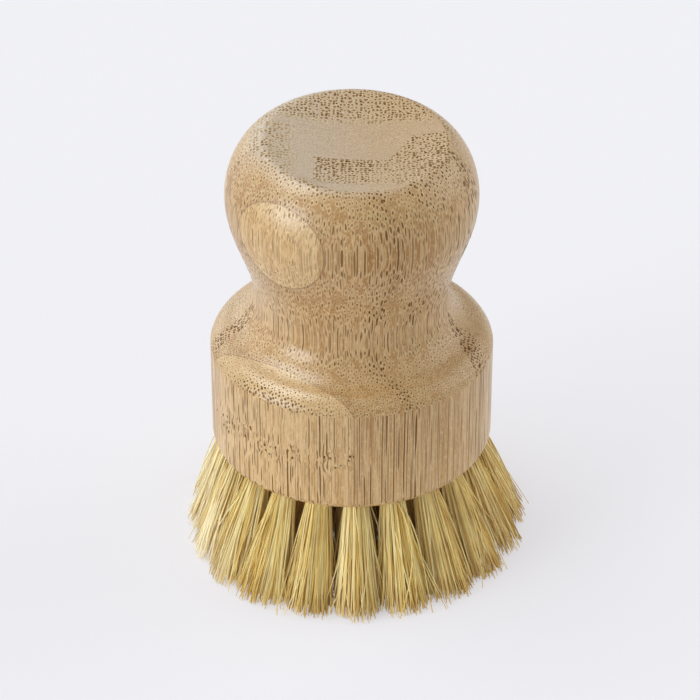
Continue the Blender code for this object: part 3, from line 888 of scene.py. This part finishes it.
def make_tuft(ring, index, fibre):
    rng = np.random.default_rng(SEED + 100 * ring + index)
    count = FOLDED_FIBRES[RING_NAMES[ring]]
    paths, along = folded_fibres(rng, count, ring)
    lean = ring_lean(ring)
    radial = RING_NAMES[ring] in RADIAL_ANCHORS
    wide = np.array([math.cos(lean), 0, math.sin(lean)]) if radial else np.array([0.0, 1.0, 0.0])
    size = FIBRE_RADIUS * rng.uniform(*FIBRE_SIZES, count)
    radii = size[:, None] * (1 - FIBRE_TAPER * along)[None]
    matrix = np.array(tuft_matrix(ring, index))
    paths = paths @ matrix[:3, :3].T + matrix[:3, 3]
    wide = matrix[:3, :3] @ wide
    paths[:, :, 0] += STANDS_IN * np.maximum(-STANDS_IN_FROM - paths[:, :, 0], 0)
    paths[:, :, 2] = np.maximum(paths[:, :, 2], radii)
    verts, faces, flat_map = tubes(paths, radii, wide)
    name = tuft_name("fibres", ring, index)
    mesh = mesh_of(name, verts, faces)
    mesh.uv_layers.new(name="OFBake").data.foreach_set("uv", flat_map.ravel())
    lot = np.repeat(rng.uniform(*LOTS[RING_NAMES[ring]], count), len(along) * FIBRE_SIDES)
    for attribute, values in (("lot", lot), ("along", np.tile(np.repeat(along, FIBRE_SIDES), count))):
        mesh.attributes.new(attribute, "FLOAT", "POINT").data.foreach_set("value", values)
    mesh.materials.append(fibre)
    tuft = new_object(name, mesh)
    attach(tuft, "root")
    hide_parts(tuft_name("tuft", ring, index))


def make_anchor(ring, index, wire):
    """The flat wire across a tuft whose solid holds its anchor too."""
    turn = 0 if RING_NAMES[ring] in RADIAL_ANCHORS else math.pi / 2
    place = (tuft_matrix(ring, index) @ hole_lean(ring) @ Matrix.Translation((0, 0, ANCHOR_DEPTH))
             @ Matrix.Rotation(turn, 4, "Z"))
    size = Matrix.Diagonal((ANCHOR_LENGTH, ANCHOR_THICKNESS, ANCHOR_HEIGHT, 1))
    bm = bmesh.new()
    bmesh.ops.create_cube(bm, size=1, matrix=place @ size)
    bmesh.ops.bevel(bm, geom=bm.edges[:], offset=ANCHOR_EDGE_ROUND, segments=2, affect="EDGES")
    mesh = bpy.data.meshes.new("anchor")
    bm.to_mesh(mesh)
    bm.free()
    mesh.materials.append(wire)
    anchor = new_object(tuft_name("anchor", ring, index), mesh)
    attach(anchor, "root")


def make_camera():
    back = Vector((0, -math.cos(CAMERA_ELEVATION), math.sin(CAMERA_ELEVATION)))
    data = bpy.data.cameras.new("camera")
    data.sensor_width = SENSOR_WIDTH
    data.lens = FOCAL_PIXELS * SENSOR_WIDTH / FRAME_PIXELS
    data.clip_start = CLIP_START
    camera = new_object("camera", data)
    camera.location = LOOK_AT + back * CAMERA_DISTANCE
    camera.rotation_euler = back.to_track_quat("Z", "Y").to_euler()
    bpy.context.scene.camera = camera


def make_sun(name, azimuth, elevation, strength, softness, tint):
    data = bpy.data.lights.new(name, "SUN")
    data.color = tint
    data.energy = strength
    data.angle = math.radians(softness)
    lamp = new_object(name, data)
    lamp.rotation_euler = towards(azimuth, elevation).to_track_quat("Z", "Y").to_euler()


def towards(azimuth, elevation):
    """A direction in degrees from the camera's side of the brush, positive to the right."""
    a, e = math.radians(azimuth), math.radians(elevation)
    return Vector((math.sin(a) * math.cos(e), -math.cos(a) * math.cos(e), math.sin(e)))


def make_floor():
    bpy.ops.mesh.primitive_plane_add(size=FLOOR_SIZE)
    floor = bpy.context.object
    floor.name = "floor"
    g = Graph(bpy.data.materials.new("floor"))
    path = g.node("ShaderNodeLightPath").outputs
    seen = g.math("MAXIMUM", path["Is Camera Ray"], path["Is Glossy Ray"])
    g.feed(g.shader.inputs["Base Color"], g.mix(seen, colour(*PALE), FLOOR_SHADE))
    g.feed(g.shader.inputs["Emission Color"], FLOOR_GLOW)
    g.feed(g.shader.inputs["Emission Strength"], seen)
    g.shader.inputs["Roughness"].default_value = FLOOR_ROUGHNESS
    g.shader.inputs["Specular IOR Level"].default_value = 0.0
    floor.data.materials.append(g.owner)


def make_world():
    world = bpy.data.worlds.new("studio")
    bpy.context.scene.world = world
    g = Graph(world)
    path = g.node("ShaderNodeLightPath").outputs
    direction = g.node("ShaderNodeTexCoord").outputs["Generated"]
    soft = g.node("ShaderNodeBackground", {"Color": (*WHITE, 1.0), "Strength": SOFT_LIGHT})
    seen = g.node("ShaderNodeBackground", {"Color": colour(*PALE)})
    mirrored = g.node("ShaderNodeBackground", {"Color": MIRRORED_TINT})
    level = g.step(g.xyz(direction)[0], *STUDIO_TURNS_FROM, *STUDIO_LEVELS)
    for azimuth, elevation, inner, outer, strength in MIRRORED_LAMPS:
        near = g.dot(direction, towards(azimuth, elevation))
        start, end = math.cos(math.radians(outer)), math.cos(math.radians(inner))
        level = g.math("ADD", level, g.step(near, start, end, 0.0, strength))
    g.feed(mirrored.inputs["Strength"], level)
    which = g.node("ShaderNodeMixShader", {0: path["Is Glossy Ray"], 1: soft.outputs[0],
                                           2: mirrored.outputs[0]})
    shown = g.node("ShaderNodeMixShader", {0: path["Is Camera Ray"], 1: which.outputs[0],
                                           2: seen.outputs[0]})
    g.feed(g.tree.nodes["World Output"].inputs["Surface"], shown.outputs[0])


bpy.context.scene.view_settings.view_transform = "Standard"
bpy.context.scene.cycles.max_bounces = MAX_BOUNCES
bpy.context.scene.cycles.diffuse_bounces = DIFFUSE_BOUNCES
make_camera()
make_block()
fibre, wire = fibre_material(), wire_material()
for ring, count in enumerate(RING_COUNTS):
    for index in range(count):
        make_tuft(ring, index, fibre)
        if RING_NAMES[ring] not in LOOSE_ANCHORS:
            make_anchor(ring, index, wire)
for name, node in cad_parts.items():
    if name.startswith("anchor"):
        node.data.materials.clear()
        node.data.materials.append(wire)
make_floor()
make_world()
for name, sun in SUNS.items():
    make_sun(name, *sun)
